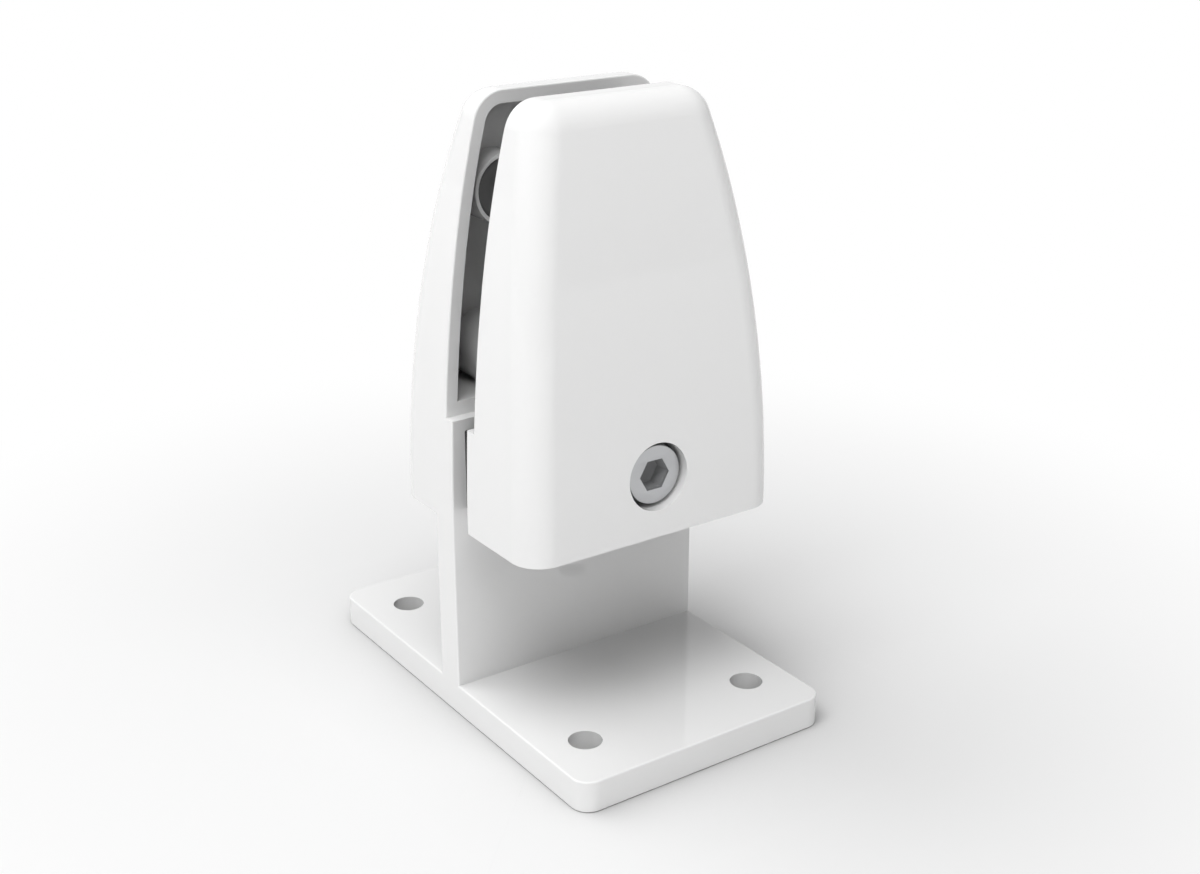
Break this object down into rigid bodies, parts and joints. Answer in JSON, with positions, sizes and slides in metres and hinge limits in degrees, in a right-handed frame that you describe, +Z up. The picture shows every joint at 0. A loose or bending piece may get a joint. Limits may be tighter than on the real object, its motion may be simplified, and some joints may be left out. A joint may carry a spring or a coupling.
{
  "type": "desk screen clamp",
  "caption": "White desk-top bracket with a fixed jaw on a web and a moving front jaw that one socket screw draws in to grip a screen panel.",
  "frame": {"origin": "centre of the underside of the base plate, at the surface that the bracket is screwed to", "axes": "+Z up, X along the screen panel, -Y from the web towards the moving front jaw and its screw"},
  "size_m": [0.05, 0.0818, 0.1065],
  "materials": {
    "white_coat": "smooth glossy white coat",
    "screw_steel": "satin",
    "black_rubber": "matt",
    "grey_rubber": "matt"
  },
  "bodies": {
    "bracket": {"bracket": "white_coat", "heel_spacer": "black_rubber", "rear_pad_lower_left": "grey_rubber", "rear_pad_lower_right": "grey_rubber", "rear_pad_upper_left": "grey_rubber", "rear_pad_upper_right": "grey_rubber"},
    "front_jaw": {"front_jaw": "white_coat", "front_pad_lower_left": "grey_rubber", "front_pad_lower_right": "grey_rubber", "front_pad_upper_left": "grey_rubber", "front_pad_upper_right": "grey_rubber"},
    "clamp_screw": {"clamp_screw": "screw_steel"}
  },
  "joints": [
    {"name": "jaw_slide", "type": "slide", "parent": "bracket", "child": "front_jaw", "axis": [0, -1, 0], "range_m": [0, 0.008]},
    {"name": "screw_spin", "type": "hinge", "parent": "front_jaw", "child": "clamp_screw", "pos_m": [0, -0.02, 0.0468], "axis": [0, -1, 0], "range_deg": [0, 2881]}
  ],
  "couplings": [
    {"joint": "screw_spin", "follows": "jaw_slide", "rad_per_m": 6283.2}
  ]
}
